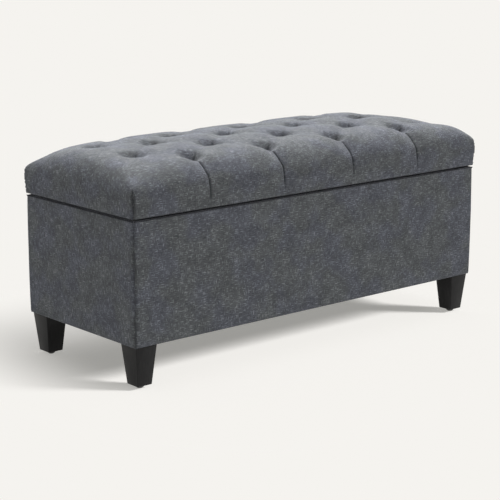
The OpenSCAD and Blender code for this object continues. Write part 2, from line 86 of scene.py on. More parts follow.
class Wire:
    """An output socket that takes part in sums."""

    def __init__(self, shade: "Shade", socket: bpy.types.NodeSocket) -> None:
        """Wraps a socket of a shade.

        Args:
            shade: The shade whose nodes the sum adds to.
            socket: The output socket.
        """
        self.shade = shade
        self.socket = socket

    def _sum(self, operation: str, *terms: Any) -> "Wire":
        """Adds one Math node and returns its result."""
        return self.shade.node("ShaderNodeMath", {"operation": operation}, dict(enumerate(terms)))

    def __add__(self, other: Any) -> "Wire":
        """Returns self + other."""
        return self._sum("ADD", self, other)

    def __radd__(self, other: Any) -> "Wire":
        """Returns other + self."""
        return self._sum("ADD", other, self)

    def __sub__(self, other: Any) -> "Wire":
        """Returns self - other."""
        return self._sum("SUBTRACT", self, other)

    def __rsub__(self, other: Any) -> "Wire":
        """Returns other - self."""
        return self._sum("SUBTRACT", other, self)

    def __mul__(self, other: Any) -> "Wire":
        """Returns self * other."""
        return self._sum("MULTIPLY", self, other)

    def __rmul__(self, other: Any) -> "Wire":
        """Returns other * self."""
        return self._sum("MULTIPLY", other, self)

    def __truediv__(self, other: Any) -> "Wire":
        """Returns self / other."""
        return self._sum("DIVIDE", self, other)

    def __pow__(self, other: Any) -> "Wire":
        """Returns self to the power of other."""
        return self._sum("POWER", self, other)

    def __abs__(self) -> "Wire":
        """Returns the size of self."""
        return self._sum("ABSOLUTE", self)

    def sin(self) -> "Wire":
        """Returns the sine of self, in radians."""
        return self._sum("SINE", self)

    def larger(self, other: Any) -> "Wire":
        """Returns the larger of self and other."""
        return self._sum("MAXIMUM", self, other)

    def step(self, low: float, high: float) -> "Wire":
        """Returns a smooth step from 0 at low to 1 at high."""
        settings = {"interpolation_type": "SMOOTHSTEP"}
        return self.shade.node(
            "ShaderNodeMapRange", settings, {"Value": self, "From Min": low, "From Max": high}
        )


class Shade:
    """A material while its nodes are being laid out."""

    def __init__(self, name: str) -> None:
        """Starts an empty material.

        Args:
            name: The material's name.
        """
        self.material = bpy.data.materials.new(name)
        self.material.use_nodes = True
        self.tree = self.material.node_tree
        self.tree.nodes.clear()

    def node(
        self, kind: str, settings: dict[str, Any], sockets: dict[Any, Any], output: Any = 0
    ) -> Wire:
        """Adds a node.

        Args:
            kind: The node's type.
            settings: Its own settings, set before its sockets.
            sockets: Values or wires, by socket name or number.
            output: The output socket to return.

        Returns:
            The chosen output.
        """
        made = self.tree.nodes.new(kind)
        for key, value in settings.items():
            setattr(made, key, value)
        for key, value in sockets.items():
            if isinstance(value, Wire):
                self.tree.links.new(value.socket, made.inputs[key])
            else:
                made.inputs[key].default_value = value
        return Wire(self, made.outputs[output])

    def place(self) -> Wire:
        """Returns the point on the piece, in metres."""
        return self.node("ShaderNodeTexCoord", {}, {}, "Object")

    def cloth(self) -> Wire:
        """Returns the point on the cloth before it was sewn, in metres."""
        return self.node("ShaderNodeUVMap", {"uv_map": CLOTH_MAP}, {})

    def parts(self, vector: Wire) -> tuple[Wire, Wire, Wire]:
        """Returns a vector's three parts."""
        first = self.node("ShaderNodeSeparateXYZ", {}, {0: vector})
        return first, *(Wire(self, first.socket.node.outputs[i]) for i in (1, 2))

    def scaled(self, vector: Wire, scale: Sequence[float]) -> Wire:
        """Returns a vector times a scale for each part."""
        return self.node("ShaderNodeVectorMath", {"operation": "MULTIPLY"}, {0: vector, 1: tuple(scale)})

    def cloudy(self, vector: Wire, scale: float, detail: float = 2.0, rough: float = 0.5) -> Wire:
        """Returns soft noise from 0 to 1."""
        sockets = {"Vector": vector, "Scale": scale, "Detail": detail, "Roughness": rough}
        return self.node("ShaderNodeTexNoise", {"noise_dimensions": "3D"}, sockets)

    def cells(self, vector: Wire, scale: float) -> Wire:
        """Returns the distance to the middle of the nearest cell."""
        return self.node("ShaderNodeTexVoronoi", {"feature": "F1"}, {"Vector": vector, "Scale": scale})

    def blend(self, factor: Any, first: Any, second: Any) -> Wire:
        """Returns a colour between two colours."""
        settings = {"data_type": "RGBA", "clamp_factor": True}
        return self.node("ShaderNodeMix", settings, {0: factor, 6: first, 7: second}, 2)

    def bump(self, height: Wire, depth: float, strength: float = 1.0, under: Wire | None = None) -> Wire:
        """Returns a normal that is bumped by a height.

        Args:
            height: The height, from 0 to 1.
            depth: What a height of 1 stands for, in metres.
            strength: The bump's strength.
            under: A normal that the bump is laid on.

        Returns:
            The normal.
        """
        sockets: dict[Any, Any] = {"Height": height, "Distance": depth, "Strength": strength}
        if under is not None:
            sockets["Normal"] = under
        return self.node("ShaderNodeBump", {}, sockets)

    def finish(self, **inputs: Any) -> bpy.types.Material:
        """Adds the surface shader.

        Args:
            **inputs: Its sockets, with _ for each space in a name.

        Returns:
            The finished material.
        """
        sockets = {key.replace("_", " "): value for key, value in inputs.items()}
        surface = self.node("ShaderNodeBsdfPrincipled", {}, sockets)
        self.node_out(surface)
        return self.material

    def node_out(self, surface: Wire) -> None:
        """Joins a shader to the material's output."""
        out = self.tree.nodes.new("ShaderNodeOutputMaterial")
        self.tree.links.new(surface.socket, out.inputs["Surface"])


Colour = tuple[float, float, float, float]


def grey(level: float, cool: float = 0.0) -> Colour:
    """Returns a grey, cooled towards blue by a share of its level."""
    return (level * (1 - cool), level, level * (1 + cool), 1.0)


# ---------------------------------------------------------------- finishes


@dataclass(frozen=True)
class Linen:
    """A plain-woven upholstery cloth with slubs, in mixed greys."""

    name: str = "slubbed_linen"
    ground: Colour = (0.044, 0.0465, 0.050, 1.0)
    # dark: the colour of the dark slubs, and of painted shade in the weave's valleys
    dark: Colour = (0.013, 0.014, 0.016, 1.0)
    fleck: Colour = (0.185, 0.192, 0.200, 1.0)
    pitch: float = 1.25 * MM
    sheen: float = 0.12

    def material(self) -> bpy.types.Material:
        """Returns the cloth's material."""
        s = Shade(self.name)
        cloth = s.cloth()
        u, v, _ = s.parts(cloth)
        turn = math.pi / self.pitch
        warp, weft = (u * turn).sin(), (v * turn).sin()
        which = (warp * weft * 2.2 + 0.5).step(0.0, 1.0)
        weave = abs(warp) * which + abs(weft) * (1 - which)
        along = s.cloudy(s.scaled(cloth, (75, 560, 1)), 1.0, 2.0)
        across = s.cloudy(s.scaled(cloth, (560, 75, 1)), 1.0, 2.0)
        slub = along.step(0.55, 0.72).larger(across.step(0.57, 0.74))
        shadow = (1 - along).step(0.56, 0.74).larger((1 - across).step(0.58, 0.76))
        mottle = s.cloudy(cloth, 26.0, 3.0, 0.6)
        broad = s.cloudy(cloth, 11.0, 2.0)
        tone = s.blend(shadow * 0.75, self.ground, self.dark)
        tone = s.blend(slub * 0.62, tone, self.fleck)
        # painted shade: the valleys between the threads are darkened towards the dark grey
        tone = s.blend((1 - weave) * 0.35, tone, self.dark)
        cool = s.blend(broad.step(0.42, 0.62), (1.0, 1.01, 0.985, 1), (0.97, 0.98, 1.07, 1))
        cloudy = s.blend(mottle.step(0.3, 0.72), (0.82, 0.82, 0.82, 1), (1.18, 1.18, 1.18, 1))
        multiply = {"data_type": "RGBA", "blend_type": "MULTIPLY"}
        tone = s.node("ShaderNodeMix", multiply, {0: 1.0, 6: tone, 7: cloudy}, 2)
        tone = s.node("ShaderNodeMix", multiply, {0: 1.0, 6: tone, 7: cool}, 2)
        # painted shade: the cloth is darkened towards near-black where the attribute marks fold creases,
        # corner seams and the gaps at the lid's edge and the box's rim
        painted_shade = s.node("ShaderNodeAttribute", {"attribute_name": PAINTED_SHADE}, {}, "Fac")
        tone = s.blend(painted_shade * 0.93, tone, (0.006, 0.006, 0.007, 1))
        height = weave * 0.6 + slub * 0.5
        normal = s.bump(height, 0.35 * MM, 0.8)
        return s.finish(
            Base_Color=tone,
            Roughness=0.92 - slub * 0.08,
            Normal=normal,
            Sheen_Weight=self.sheen,
            Sheen_Roughness=0.42,
            Sheen_Tint=(0.86, 0.90, 1.0, 1.0),
            Specular_IOR_Level=0.1,
        )


@dataclass(frozen=True)
class BlackLacquer:
    """Black lacquer over close-grained timber, its gloss varying in soft patches."""

    name: str = "black_lacquer"

    def material(self) -> bpy.types.Material:
        """Returns the lacquer's material."""
        s = Shade(self.name)
        place = s.place()
        grain = s.cloudy(s.scaled(place, (420, 420, 26)), 1.0, 4.0, 0.6)
        pores = s.cloudy(s.scaled(place, (900, 900, 60)), 1.0, 2.0)
        cloud = s.cloudy(place, 22.0, 3.0)
        tone = s.blend(grain.step(0.35, 0.7), (0.0035, 0.0035, 0.0038, 1), (0.0075, 0.0072, 0.0075, 1))
        rough = 0.30 + cloud.step(0.35, 0.75) * 0.14 + pores.step(0.6, 0.8) * 0.10
        normal = s.bump(grain * 0.7 + pores * 0.3, 0.10 * MM, 0.5)
        return s.finish(Base_Color=tone, Roughness=rough, Normal=normal, Specular_IOR_Level=0.18)


class GrainRun(Enum):
    """Which way a board's grain runs."""

    LONG = (1.6, 34.0, 34.0)
    DEEP = (34.0, 1.6, 34.0)
    TALL = (34.0, 34.0, 1.6)


@dataclass(frozen=True)
class Timber:
    """Raw timber or board, with grain along one axis."""

    name: str
    run: GrainRun
    pale: Colour
    dark: Colour

    def material(self) -> bpy.types.Material:
        """Returns the timber's material."""
        s = Shade(self.name)
        place = s.place()
        long_grain = s.scaled(place, self.run.value)
        waves = s.cloudy(long_grain, 1.0, 5.0, 0.62)
        fibres = s.cloudy(long_grain, 9.0, 3.0, 0.7)
        rings = (waves * 34.0).sin() * 0.5 + 0.5
        tone = s.blend(rings * 0.55 + fibres * 0.45, self.pale, self.dark)
        rough = 0.58 + fibres * 0.25
        normal = s.bump(rings * 0.4 + fibres * 0.6, 0.25 * MM, 0.6)
        return s.finish(Base_Color=tone, Roughness=rough, Normal=normal)


@dataclass(frozen=True)
class Metal:
    """A metal or a painted metal, with fine wear in its gloss."""

    name: str
    colour: Colour
    second: Colour
    rough: float
    metallic: float = 1.0
    streak: tuple[float, float, float] = (240.0, 240.0, 240.0)

    def material(self) -> bpy.types.Material:
        """Returns the metal's material."""
        s = Shade(self.name)
        place = s.place()
        streaks = s.cloudy(s.scaled(place, self.streak), 1.0, 3.0, 0.6)
        cloud = s.cloudy(place, 60.0, 3.0)
        tone = s.blend(cloud.step(0.35, 0.7) * 0.7 + streaks * 0.3, self.colour, self.second)
        rough = self.rough + streaks * 0.12 + cloud.step(0.5, 0.8) * 0.08
        normal = s.bump(streaks, 0.03 * MM, 0.35)
        return s.finish(Base_Color=tone, Roughness=rough, Metallic=self.metallic, Normal=normal)


@dataclass(frozen=True)
class Moulded:
    """Moulded plastic or rubber with a fine sparked grain."""

    name: str
    colour: Colour
    rough: float
    grain: float = 1400.0

    def material(self) -> bpy.types.Material:
        """Returns the moulding's material."""
        s = Shade(self.name)
        place = s.place()
        spark = s.cells(place, self.grain)
        scuff = s.cloudy(place, 90.0, 4.0, 0.7).step(0.55, 0.8)
        worn = tuple(min(1.0, c * 1.9 + 0.01) for c in self.colour[:3]) + (1.0,)
        tone = s.blend(scuff * 0.5, self.colour, worn)
        normal = s.bump(spark, 0.06 * MM, 0.4)
        return s.finish(Base_Color=tone, Roughness=self.rough + scuff * 0.12, Normal=normal)


@dataclass(frozen=True)
class Felt:
    """A pressed, non-woven cloth with small bonded dimples."""

    name: str
    colour: Colour
    pale: Colour
    dimples: float = 1 / (2.2 * MM)

    def material(self) -> bpy.types.Material:
        """Returns the cloth's material."""
        s = Shade(self.name)
        cloth = s.cloth()
        u, v, _ = s.parts(cloth)
        turn = math.pi * self.dimples
        dots = abs((u * turn).sin() * (v * turn).sin()).step(0.55, 0.95)
        fibres = s.cloudy(cloth, 900.0, 3.0, 0.7)
        cloud = s.cloudy(cloth, 14.0, 3.0)
        tone = s.blend(fibres.step(0.4, 0.8) * 0.6 + cloud * 0.3, self.colour, self.pale)
        tone = s.blend(dots * 0.3, tone, self.colour)
        normal = s.bump(fibres * 0.5 - dots * 0.7, 0.3 * MM, 0.7)
        return s.finish(
            Base_Color=tone,
            Roughness=0.9 - dots * 0.12,
            Normal=normal,
            Sheen_Weight=0.2,
            Sheen_Roughness=0.6,
        )


@dataclass(frozen=True)
class Stuffing:
    """Foam or fibre wadding: open cells or matted fibres."""

    name: str
    colour: Colour
    # deep: the colour of painted shade in the hollows of the cells
    deep: Colour
    cell: float

    def material(self) -> bpy.types.Material:
        """Returns the stuffing's material."""
        s = Shade(self.name)
        place = s.place()
        pits = s.cells(place, self.cell).step(0.1, 0.7)
        cloud = s.cloudy(place, 30.0, 4.0)
        # painted shade: the cells' hollows, low in the bump, are darkened towards the deep colour; the
        # cloud adds random tone
        tone = s.blend(pits * 0.6 + cloud * 0.3, self.deep, self.colour)
        normal = s.bump(pits, 0.8 * MM, 0.8)
        return s.finish(Base_Color=tone, Roughness=0.9 + cloud * 0.08, Normal=normal)


@dataclass(frozen=True)
class Thread:
    """Waxed, twisted tufting thread."""

    name: str = "waxed_thread"

    def material(self) -> bpy.types.Material:
        """Returns the thread's material."""
        s = Shade(self.name)
        x, y, z = s.parts(s.place())
        twist = ((x + y) * 2600.0 + z * 3400.0).sin() * 0.5 + 0.5
        tone = s.blend(twist, (0.42, 0.38, 0.29, 1), (0.68, 0.63, 0.51, 1))
        return s.finish(Base_Color=tone, Roughness=0.7 - twist * 0.1, Normal=s.bump(twist, 0.3 * MM, 0.8))


PALE_BOARD: Colour = (0.50, 0.36, 0.215, 1)
DARK_BOARD: Colour = (0.35, 0.235, 0.13, 1)
PALE_PINE: Colour = (0.62, 0.46, 0.27, 1)
DARK_PINE: Colour = (0.44, 0.29, 0.15, 1)
ZINC: Colour = (0.56, 0.57, 0.58, 1)
DULL_ZINC: Colour = (0.42, 0.43, 0.44, 1)


class Finishes:
    """Every finish of the bench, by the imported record's slots and by node."""

    def __init__(self) -> None:
        """Makes each material once."""
        self.linen = Linen().material()
        self.lacquer = BlackLacquer().material()
        self.lining = Felt("storage_felt", grey(0.012, 0.04), grey(0.034, 0.04)).material()
        self.dust = Felt("dust_felt", grey(0.010), grey(0.026)).material()
        # the second colour of the foam and of the wadding is painted shade in the hollows of their cells
        self.foam = Stuffing("foam", (0.78, 0.72, 0.52, 1), (0.60, 0.53, 0.36, 1), 700.0).material()
        self.wadding = Stuffing("fibre_wadding", grey(0.82), grey(0.62), 420.0).material()
        boards = {run: Timber(f"board_{run.name.lower()}", run, PALE_BOARD, DARK_BOARD) for run in GrainRun}
        pines = {run: Timber(f"pine_{run.name.lower()}", run, PALE_PINE, DARK_PINE) for run in GrainRun}
        self.boards = {run: board.material() for run, board in boards.items()}
        self.pines = {run: pine.material() for run, pine in pines.items()}
        self.by_slot = {
            "twine": Thread().material(),
            "zinc_steel": Metal("zinc_screws", ZINC, DULL_ZINC, 0.30).material(),
            "hinge_steel": Metal("hinge_steel", ZINC, DULL_ZINC, 0.27, 1.0, (40, 900, 900)).material(),
            "bracket_steel": Metal("powder_coat", grey(0.014), grey(0.022), 0.42, 0.0).material(),
            "strut_tube": Metal("strut_paint", grey(0.010), grey(0.015), 0.22, 0.0).material(),
            "strut_rod": Metal("ground_rod", grey(0.72), grey(0.62), 0.07, 1.0, (900, 60, 60)).material(),
            "bumper_rubber": Moulded("rubber", grey(0.012), 0.62).material(),
            "glide_plastic": Moulded("glide_plastic", grey(0.011), 0.45).material(),
            "leg_wood": self.lacquer,
            "upholstery": self.linen,
            "lining": self.lining,
            "dust_cloth": self.dust,
            "foam": self.foam,
            "wadding": self.wadding,
        }

    def timber_for(self, node: str) -> bpy.types.Material:
        """Returns the timber of a node, with its grain along the node's longest side."""
        low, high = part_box(node)
        size = high - low
        run = list(GrainRun)[max(range(3), key=lambda axis: size[axis])]
        is_board = node.endswith("panel") or node == "lid_board"
        return (self.boards if is_board else self.pines)[run]

    def dress(self, nodes: dict[str, bpy.types.Object], record: dict[str, Any]) -> None:
        """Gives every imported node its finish.

        Args:
            nodes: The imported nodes, by name.
            record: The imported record.
        """
        for part in record["subparts"]:
            node, name = part["node"], part["material_slot"]
            found = self.by_slot.get(name) or self.timber_for(node)
            wear(nodes[node], found)


# ---------------------------------------------------------------- mesh kit


def wear(piece: bpy.types.Object, material: bpy.types.Material) -> None:
    """Puts one material on a piece, in place of any others."""
    piece.data.materials.clear()
    piece.data.materials.append(material)


@dataclass(frozen=True)
class Span:
    """An upright box in the bench's frame."""

    low: Vector
    high: Vector

    @classmethod
    def of(cls, node: str) -> "Span":
        """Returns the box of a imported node."""
        return cls(*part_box(node))

    @property
    def size(self) -> Vector:
        """The box's three sides."""
        return self.high - self.low

    @property
    def middle(self) -> Vector:
        """The box's centre."""
        return (self.low + self.high) / 2

    def within(self, sides: float, bottom: float = 0.0, top: float = 0.0) -> "Span":
        """Returns the box drawn in on its four sides, its bottom and its top."""
        return Span(
            self.low + Vector((sides, sides, bottom)), self.high - Vector((sides, sides, top))
        )


def box_grid(span: Span, cells: Sequence[int]) -> bmesh.types.BMesh:
    """Returns a box whose faces are divided evenly.

    Args:
        span: The box.
        cells: How many cells along X, Y and Z.

    Returns:
        The divided box.
    """
    bm = bmesh.new()
    place = Matrix.Translation(span.middle) @ Matrix.Diagonal((*span.size, 1.0))
    bmesh.ops.create_cube(bm, size=1.0, matrix=place)
    for axis, count in enumerate(cells):
        across = [(axis + 1) % 3, (axis + 2) % 3]
        edges = [
            e
            for e in bm.edges
            if all(abs(e.verts[0].co[i] - e.verts[1].co[i]) < 1e-5 for i in across)
        ]
        bmesh.ops.subdivide_edges(bm, edges=edges, cuts=count - 1, use_grid_fill=True)
    return bm


def cut(bm: bmesh.types.BMesh, point: Sequence[float], normal: Sequence[float]) -> None:
    """Adds a line of edges where a plane meets the mesh."""
    geometry = [*bm.verts, *bm.edges, *bm.faces]
    bmesh.ops.bisect_plane(
        bm, geom=geometry, dist=1e-5, plane_co=Vector(point), plane_no=Vector(normal).normalized()
    )


def lay_cloth(bm: bmesh.types.BMesh, span: Span) -> None:
    """Lays the cloth's threads over a plain box, unbroken from the top down each side.

    Args:
        bm: The box, before it is shaped.
        span: Its size.
    """
    layer = bm.loops.layers.uv.new(CLOTH_MAP)
    for face in bm.faces:
        axis = max(range(3), key=lambda i: abs(face.normal[i]))
        outward = math.copysign(1.0, face.normal[axis])
        for loop in face.loops:
            x, y, z = loop.vert.co
            fall = span.high.z - z
            if axis == 0:
                loop[layer].uv = (outward * (span.size.x / 2 + fall), y)
            elif axis == 1:
                loop[layer].uv = (x, outward * (span.size.y / 2 + fall))
            else:
                loop[layer].uv = (x, y * outward)


def places(bm: bmesh.types.BMesh) -> np.ndarray:
    """Returns every vertex's place, one row each."""
    return np.array([v.co[:] for v in bm.verts], float)


def put(bm: bmesh.types.BMesh, where: np.ndarray) -> None:
    """Moves every vertex to its row of where."""
    for vert, place in zip(bm.verts, where):
        vert.co = place


def outward(bm: bmesh.types.BMesh) -> np.ndarray:
    """Returns every vertex's outward direction, one row each."""
    bm.normal_update()
    return np.array([v.normal[:] for v in bm.verts], float)


def ripple(where: np.ndarray, size: float, seed: float) -> np.ndarray:
    """Returns smooth noise between -1 and 1 for each place.

    Args:
        where: The places.
        size: How far apart its waves are.
        seed: Shifts the pattern.

    Returns:
        One value for each place.
    """
    shift = Vector((seed, seed * 1.7, -seed))
    return np.array([noise.noise(Vector(p) / size + shift) for p in where])


def smooth(value: np.ndarray, low: float, high: float) -> np.ndarray:
    """Returns a smooth step from 0 at low to 1 at high."""
    t = np.clip((value - low) / (high - low), 0.0, 1.0)
    return t * t * (3 - 2 * t)


def round_plan(where: np.ndarray, half: Any, radius: Any) -> np.ndarray:
    """Rounds the upright corners of a box about the Z axis.

    Args:
        where: The places.
        half: Half of its length and of its depth, for all or for each place.
        radius: The corners' radius, for all or for each place.

    Returns:
        The new places.
    """
    out = where.copy()
    count = len(where)
    half = np.broadcast_to(np.array(half, float), (count, 2))
    radius = np.broadcast_to(np.array(radius, float), (count,))
    over = np.abs(where[:, :2]) - (half - radius[:, None])
    corner = (over > 0).all(axis=1)
    reach = np.maximum(over[:, 0], over[:, 1])
    length = np.maximum(np.hypot(over[:, 0], over[:, 1]), 1e-9)
    for axis in (0, 1):
        moved = half[:, axis] - radius + over[:, axis] * reach / length
        out[:, axis] = np.where(corner, np.sign(where[:, axis]) * moved, where[:, axis])
    return out


def round_foot(where: np.ndarray, half: Sequence[float], level: float, radius: float) -> np.ndarray:
    """Rounds the edge between a box's sides and its underside.

    Args:
        where: The places.
        half: Half of its length and of its depth.
        level: The underside's level.
        radius: The edge's radius.

    Returns:
        The new places.
    """
    out = where.copy()
    down = radius - (where[:, 2] - level)
    for axis in (0, 1):
        over = np.abs(out[:, axis]) - (half[axis] - radius)
        edge = (over > 0) & (down > 0)
        reach = np.maximum(over, down)
        length = np.maximum(np.hypot(over, down), 1e-9)
        side = np.sign(out[:, axis]) * (half[axis] - radius + over * reach / length)
        out[:, axis] = np.where(edge, side, out[:, axis])
        out[:, 2] = np.where(edge, level + radius - down * reach / length, out[:, 2])
    return out


def cut_upright(bm: bmesh.types.BMesh, reaches: Sequence[Sequence[float]]) -> None:
    """Cuts a mesh with upright planes on both sides of the middle.

    Args:
        bm: The mesh.
        reaches: How far from the middle the planes stand, first along X and then along Y.
    """
    for axis in (0, 1):
        for side in (-1, 1):
            for reach in reaches[axis]:
                point, normal = [0.0, 0.0, 0.0], [0.0, 0.0, 0.0]
                point[axis], normal[axis] = side * reach, 1.0
                cut(bm, point, normal)


def corner_seam(where: np.ndarray, half: Vector, reach: float, width: float) -> np.ndarray:
    """Returns how deep each place lies in an upright corner seam, from 0 to 1.

    Args:
        where: The places.
        half: Half the size of the box whose corners are sewn.
        reach: How far from the box's sharp corner the seam is deepest.
        width: How soon the seam fades beside that.

    Returns:
        The depths.
    """
    corner = np.hypot(np.abs(where[:, 0]) - half[0], np.abs(where[:, 1]) - half[1])
    return np.exp(-np.maximum(corner - reach, 0) / width)


def keep_faces(bm: bmesh.types.BMesh, wanted: Callable[[Vector], bool]) -> None:
    """Deletes the faces whose middle isn't wanted."""
    unwanted = [f for f in bm.faces if not wanted(f.calc_center_median())]
    bmesh.ops.delete(bm, geom=unwanted, context="FACES")


def piece_from(bm: bmesh.types.BMesh, name: str, material: bpy.types.Material) -> bpy.types.Object:
    """Turns a bmesh into a smooth-shaded piece of the scene.

    Args:
        bm: The mesh, which is freed.
        name: The piece's name.
        material: Its finish.

    Returns:
        The piece.
    """
    mesh = bpy.data.meshes.new(name)
    bm.to_mesh(mesh)
    bm.free()
    mesh.shade_smooth()
    piece = bpy.data.objects.new(name, mesh)
    bpy.context.scene.collection.objects.link(piece)
    wear(piece, material)
    LOG.info("%s: %d faces", name, len(mesh.polygons))
    return piece


def thicken(piece: bpy.types.Object, thickness: float) -> None:
    """Gives a sheet its thickness, on its inner side."""
    wall = piece.modifiers.new("thickness", "SOLIDIFY")
    wall.thickness = thickness
    wall.offset = -1.0
    wall.use_rim = True


def stand_for(piece: bpy.types.Object, body: str, node: str) -> None:
    """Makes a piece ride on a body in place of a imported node.

    Args:
        piece: The piece.
        body: The body.
        node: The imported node.
    """
    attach(piece, body)
    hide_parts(node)


# ---------------------------------------------------------------- lid


@dataclass(frozen=True)
class Tufting:
    """The diamond pattern that ties the lid's pad down."""

    pitch_x: float = 223 * MM
    pitch_y: float = 73 * MM
    depth: float = 27 * MM
    valley: float = 3.2 * MM
    bowl_reach: float = 36 * MM

    def rows(self) -> dict[int, list[float]]:
        """Returns the tufts' X positions for each row, from front to back."""
        counts = {row: 4 if row % 2 == 0 else 5 for row in range(-2, 3)}
        return {
            row: [(i - (count - 1) / 2) * self.pitch_x for i in range(count)]
            for row, count in counts.items()
        }

    def tufts(self) -> list[tuple[float, float]]:
        """Returns every tuft's place."""
        return [(x, row * self.pitch_y) for row, xs in self.rows().items() for x in xs]

    def links(self) -> list[tuple[np.ndarray, np.ndarray]]:
        """Returns the pairs of tufts that a fold joins, along the diamonds' sides."""
        rows = self.rows()
        found = []
        for row in range(-2, 2):
            for x in rows[row]:
                for other in rows[row + 1]:
                    if abs(abs(x - other) - self.pitch_x / 2) < MM:
                        ends = (x, row * self.pitch_y), (other, (row + 1) * self.pitch_y)
                        found.append(tuple(np.array(end) for end in ends))
        return found

    def edge_tufts(self) -> list[tuple[float, float]]:
        """Returns the tufts of the front and back rows, which a pleat leaves."""
        return [(x, side * 2 * self.pitch_y) for side in (-1, 1) for x in self.rows()[side * 2]]

    def sink(self, where: np.ndarray, form: "PadForm") -> np.ndarray:
        """Returns how far the pad is drawn in at each place, without its sharp folds.

        Args:
            where: Places on the pad.
            form: The pad's form.

        Returns:
            The depths.
        """
        plan = where[:, :2]
        power = 3.0
        total = np.zeros(len(where))
        for a, b in self.links():
            along = b - a
            length = np.linalg.norm(along)
            t = np.clip((plan - a) @ along / length**2, 0, 1)
            off = np.linalg.norm(plan - a - t[:, None] * along, axis=1)
            near = np.exp(-((np.minimum(t, 1 - t) * length / (26 * MM)) ** 2))
            deep = self.valley + (self.depth * 0.5 - self.valley) * near
            width = (26 - 12 * near) * MM
            total += (deep * np.exp(-((off / width) ** 2))) ** power
        for tuft in self.tufts():
            away = np.linalg.norm(plan - np.array(tuft), axis=1)
            bowl = (1 - np.clip(away / self.bowl_reach, 0, 1) ** 1.35) ** 1.15
            total += ((self.depth - form.end_fall(np.array([tuft]))[0]) * bowl) ** power
        for x, y in self.edge_tufts():
            run = self.run(where, y, form.span.high.z)
            deep = 8.5 * MM * smooth(run, -12 * MM, 8 * MM) * (1 - smooth(run, 70 * MM, 180 * MM))
            off = np.abs(plan[:, 0] - x)
            total += (deep * np.exp(-((off / (27 * MM)) ** 2))) ** power
        return total ** (1 / power)

    def run(self, where: np.ndarray, row_y: float, top: float) -> np.ndarray:
        """Returns how far each place is along a pleat, from its tuft out and down the side."""
        outwards = (where[:, 1] - row_y) * math.copysign(1.0, row_y)
        return outwards + np.maximum(top - where[:, 2] - 12 * MM, 0.0) * (outwards > 0)

    def fold(self, where: np.ndarray, top: float) -> np.ndarray:
        """Returns how sharply the cloth is folded at each place, from 0 to 1.

        Args:
            where: Places on the pad.
            top: The level of the pad's top.

        Returns:
            The sharpness.
        """
        plan = where[:, :2]
        sharp = np.zeros(len(where))
        for a, b in self.links():
            along = b - a
            length = np.linalg.norm(along)
            t = np.clip((plan - a) @ along / length**2, 0, 1)
            off = np.linalg.norm(plan - a - t[:, None] * along, axis=1)
            end = np.minimum(t, 1 - t) * length
            turned = 1.0 if along[0] * along[1] > 0 else 0.45
            fade = turned * np.exp(-((end / (36 * MM)) ** 2))
            sharp = np.maximum(sharp, fade * np.exp(-off / (4.2 * MM)))
        for x, y in self.edge_tufts():
            run = self.run(where, y, top)
            fade = smooth(run, -6 * MM, 4 * MM) * (1 - smooth(run, 110 * MM, 230 * MM))
            off = np.abs(plan[:, 0] - x)
            sharp = np.maximum(sharp, fade * np.exp(-off / (2.4 * MM)))
        return sharp


@dataclass(frozen=True)
class PadForm:
    """The crowned block that the lid's foam and cover share."""

    span: Span
    roll: float = 57 * MM
    corner: float = 8 * MM
    crown: float = 940 * MM
    bulge: float = 2.4 * MM
    top_corner: float = 38 * MM
    end_drop: float = 22 * MM
    soft: float = 85 * MM

    def shape(self, grid: np.ndarray) -> np.ndarray:
        """Rolls the top edges of a plain box and crowns it.

        Args:
            grid: Places on the plain box.

        Returns:
            Places on the pad.
        """
        half = self.span.size / 2
        top = self.span.high.z
        fall = top - grid[:, 2]
        up = np.clip((self.roll - fall) / self.roll, 0, 1)
        out = grid.copy()
        over = np.clip((self.roll - (np.array(half[:2]) - np.abs(grid[:, :2]))) / self.roll, 0, 1)
        for axis in (0, 1):
            rolled = half[axis] - self.roll * (1 - over[:, axis] / np.sqrt(1 + (up * over[:, axis]) ** 2))
            out[:, axis] = np.where(over[:, axis] > 0, np.sign(grid[:, axis]) * rolled, grid[:, axis])
        lift = self.roll * up / np.sqrt(1 + up**2 * (over**2).sum(axis=1))
        out[:, 2] = top - self.roll + lift - np.maximum(fall - self.roll, 0)
        level = np.clip((out[:, 2] - top + self.roll) / self.roll, 0, 1)
        inwards = self.roll * (1 - np.sqrt(1 - level**2))
        radius = self.corner + (self.top_corner - self.corner) * smooth(level, 0.0, 0.9)
        out = round_plan(out, np.array(half[:2]) - inwards[:, None], radius)
        drop = self.crown - np.sqrt(self.crown**2 - out[:, 1] ** 2) + self.end_fall(out)
        out[:, 2] -= drop * np.clip((out[:, 2] - top + self.soft) / self.soft, 0, 1)
        return out

    def end_fall(self, where: np.ndarray) -> np.ndarray:
        """Returns how far the pad's top falls towards its ends, most of all at the right."""
        right = smooth(where[:, 0], self.span.high.x - 200 * MM, self.span.high.x - 40 * MM)
        left = smooth(-where[:, 0], self.span.high.x - 230 * MM, self.span.high.x - 20 * MM)
        front = smooth(-where[:, 1], 90 * MM, 200 * MM)
        rear_left = smooth(-where[:, 0], self.span.high.x - 110 * MM, self.span.high.x - 20 * MM)
        rear_left *= smooth(where[:, 1], 40 * MM, 190 * MM)
        return self.end_drop * (right * (1 - 0.75 * front) + 0.45 * left + 0.4 * rear_left)

    def side_bulge(self, where: np.ndarray) -> np.ndarray:
        """Returns how far the pad's upright sides stand out."""
        level = (where[:, 2] - self.span.low.z) / (self.span.size.z - self.roll)
        return self.bulge * np.sin(np.pi * np.clip(level * 0.85, 0, 1)) * (level < 1 / 0.85)


